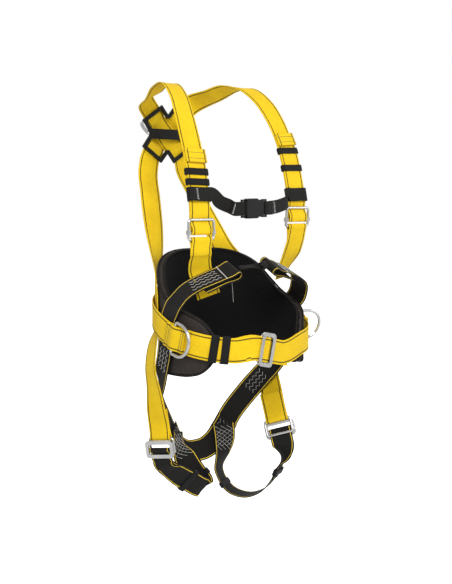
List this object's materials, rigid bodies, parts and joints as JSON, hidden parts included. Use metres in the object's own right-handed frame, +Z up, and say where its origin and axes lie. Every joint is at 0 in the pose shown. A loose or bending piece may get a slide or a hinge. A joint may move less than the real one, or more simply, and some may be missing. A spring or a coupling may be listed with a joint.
{
  "type": "safety harness",
  "caption": "Full-body fall-arrest harness with padded work-positioning belt, dorsal and side D-rings, chest strap and leg loops of yellow and black webbing.",
  "frame": {"origin": "on the wearer's axis, at the height of the waist belt's middle at the wearer's sides", "axes": "+Z up, +Y towards the wearer's back, +X towards the wearer's left"},
  "size_m": [0.3639, 0.3814, 0.8165],
  "materials": {
    "webbing_yellow": "ribbed golden-yellow polyester webbing with a thin dark line inside each edge",
    "webbing_black": "ribbed black polyester webbing with a thin yellow line near each edge",
    "tape_black": "narrow ribbed black webbing",
    "elastic_black": "ribbed black elastic",
    "pad_cover": "dark brown-grey leather-look cover, satin",
    "pad_foam": "closed-cell foam, hidden",
    "pad_lining": "black spacer mesh",
    "plastic_plate": "moulded, matte black",
    "plastic_black": "moulded black acetal, satin",
    "steel_zinc": "bright zinc-plated steel"
  },
  "bodies": {
    "webbing": {"adjuster_frame_left": "steel_zinc", "adjuster_frame_right": "steel_zinc", "chest_socket": "plastic_black", "chest_strap_left": "tape_black", "chest_strap_right": "tape_black", "d_ring_patch_left": "webbing_yellow", "d_ring_patch_right": "webbing_yellow", "dorsal_plate": "plastic_plate", "front_tie": "tape_black", "hip_strap_left": "webbing_black", "hip_strap_right": "webbing_black", "leg_keeper_left_1": "elastic_black", "leg_keeper_left_2": "elastic_black", "leg_keeper_right_1": "elastic_black", "leg_keeper_right_2": "elastic_black", "leg_strap_left": "webbing_black", "leg_strap_right": "webbing_black", "lower_front_strap_left": "webbing_yellow", "lower_front_strap_right": "webbing_yellow", "lumbar_pad_cover": "pad_cover", "lumbar_pad_foam": "pad_foam", "lumbar_pad_lining": "pad_lining", "seat_strap": "webbing_black", "shoulder_strap_left": "webbing_yellow", "shoulder_strap_right": "webbing_yellow", "strap_tail_stop_left": "webbing_yellow", "strap_tail_stop_right": "webbing_yellow", "waist_belt": "webbing_yellow"},
    "dorsal_ring": {"dorsal_d_ring": "steel_zinc"},
    "side_ring_right": {"side_d_ring_right": "steel_zinc"},
    "side_ring_left": {"side_d_ring_left": "steel_zinc"},
    "adjuster_bar_right": {"adjuster_bar_right": "steel_zinc"},
    "adjuster_bar_left": {"adjuster_bar_left": "steel_zinc"},
    "chest_plug": {"chest_plug": "plastic_black", "chest_fold_left": "tape_black"},
    "belt_link": {"belt_buckle_link": "steel_zinc"},
    "belt_ring": {"belt_buckle_ring": "steel_zinc"},
    "leg_link_right": {"leg_buckle_link_right": "steel_zinc"},
    "leg_ring_right": {"leg_buckle_ring_right": "steel_zinc"},
    "leg_link_left": {"leg_buckle_link_left": "steel_zinc"},
    "leg_ring_left": {"leg_buckle_ring_left": "steel_zinc"},
    "belt_keeper_1": {"belt_keeper_1": "elastic_black"},
    "belt_keeper_2": {"belt_keeper_2": "elastic_black"},
    "shoulder_keeper_right_1": {"shoulder_keeper_right_1": "elastic_black"},
    "shoulder_keeper_right_2": {"shoulder_keeper_right_2": "elastic_black"},
    "shoulder_keeper_left_1": {"shoulder_keeper_left_1": "elastic_black"},
    "shoulder_keeper_left_2": {"shoulder_keeper_left_2": "elastic_black"}
  },
  "joints": [
    {"name": "dorsal_ring_hinge", "type": "hinge", "parent": "webbing", "child": "dorsal_ring", "pos_m": [0, 0.2039, 0.37218], "axis": [1, 0, 0], "range_deg": [-70, 0]},
    {"name": "side_ring_right_hinge", "type": "hinge", "parent": "webbing", "child": "side_ring_right", "pos_m": [-0.15607, -0.02408, -0.00335], "axis": [-0.0329, 0.2566, -0.966], "range_deg": [0, 150]},
    {"name": "side_ring_left_hinge", "type": "hinge", "parent": "webbing", "child": "side_ring_left", "pos_m": [0.15607, -0.02408, -0.00335], "axis": [-0.0329, -0.2566, 0.966], "range_deg": [-76, 72]},
    {"name": "adjuster_bar_right_slide", "type": "slide", "parent": "webbing", "child": "adjuster_bar_right", "axis": [0, -0.03, 0.9996], "range_m": [0, 0.005]},
    {"name": "adjuster_bar_left_slide", "type": "slide", "parent": "webbing", "child": "adjuster_bar_left", "axis": [0, -0.0797, 0.9968], "range_m": [0, 0.005]},
    {"name": "chest_buckle_slide", "type": "slide", "parent": "webbing", "child": "chest_plug", "axis": [0.9998, 0, 0.02], "range_m": [0, 0.03]},
    {"name": "belt_link_hinge", "type": "hinge", "parent": "webbing", "child": "belt_link", "pos_m": [-0.02, -0.1222, -0.027], "axis": [-0.2212, 0, -0.9752], "range_deg": [-10, 0]},
    {"name": "belt_ring_hinge", "type": "hinge", "parent": "webbing", "child": "belt_ring", "pos_m": [-0.00098, -0.1124, -0.03131], "axis": [-0.2212, 0, -0.9752], "range_deg": [0, 12]},
    {"name": "leg_link_right_hinge", "type": "hinge", "parent": "webbing", "child": "leg_link_right", "pos_m": [-0.13599, 0.04688, -0.22219], "axis": [0.3422, -0.9308, 0.1286], "range_deg": [-10, 0]},
    {"name": "leg_ring_right_hinge", "type": "hinge", "parent": "webbing", "child": "leg_ring_right", "pos_m": [-0.12878, 0.05227, -0.20231], "axis": [0.3422, -0.9308, 0.1286], "range_deg": [0, 12]},
    {"name": "leg_link_left_hinge", "type": "hinge", "parent": "webbing", "child": "leg_link_left", "pos_m": [0.13348, 0.00786, -0.21477], "axis": [-0.6302, 0.7286, -0.2685], "range_deg": [-10, 0]},
    {"name": "leg_ring_left_hinge", "type": "hinge", "parent": "webbing", "child": "leg_ring_left", "pos_m": [0.12627, 0.0092, -0.19422], "axis": [-0.6302, 0.7286, -0.2685], "range_deg": [0, 12]},
    {"name": "shoulder_keeper_right_1_slide", "type": "slide", "parent": "webbing", "child": "shoulder_keeper_right_1", "axis": [0.0243, 0.1888, 0.9817], "range_m": [-0.002, 0.0025]},
    {"name": "shoulder_keeper_right_2_slide", "type": "slide", "parent": "webbing", "child": "shoulder_keeper_right_2", "axis": [0.0257, 0.2335, 0.972], "range_m": [-0.0025, 0.006]},
    {"name": "shoulder_keeper_left_1_slide", "type": "slide", "parent": "webbing", "child": "shoulder_keeper_left_1", "axis": [-0.0227, 0.246, 0.969], "range_m": [-0.004, 0.004]},
    {"name": "shoulder_keeper_left_2_slide", "type": "slide", "parent": "webbing", "child": "shoulder_keeper_left_2", "axis": [-0.0399, 0.3536, 0.9346], "range_m": [-0.006, 0]},
    {"name": "belt_keeper_1_slide", "type": "slide", "parent": "webbing", "child": "belt_keeper_1", "axis": [0.7976, -0.5823, -0.1572], "range_m": [-0.002, 0.0015]},
    {"name": "belt_keeper_2_slide", "type": "slide", "parent": "webbing", "child": "belt_keeper_2", "axis": [0.8932, -0.4342, -0.1172], "range_m": [-0.0015, 0.002]}
  ]
}
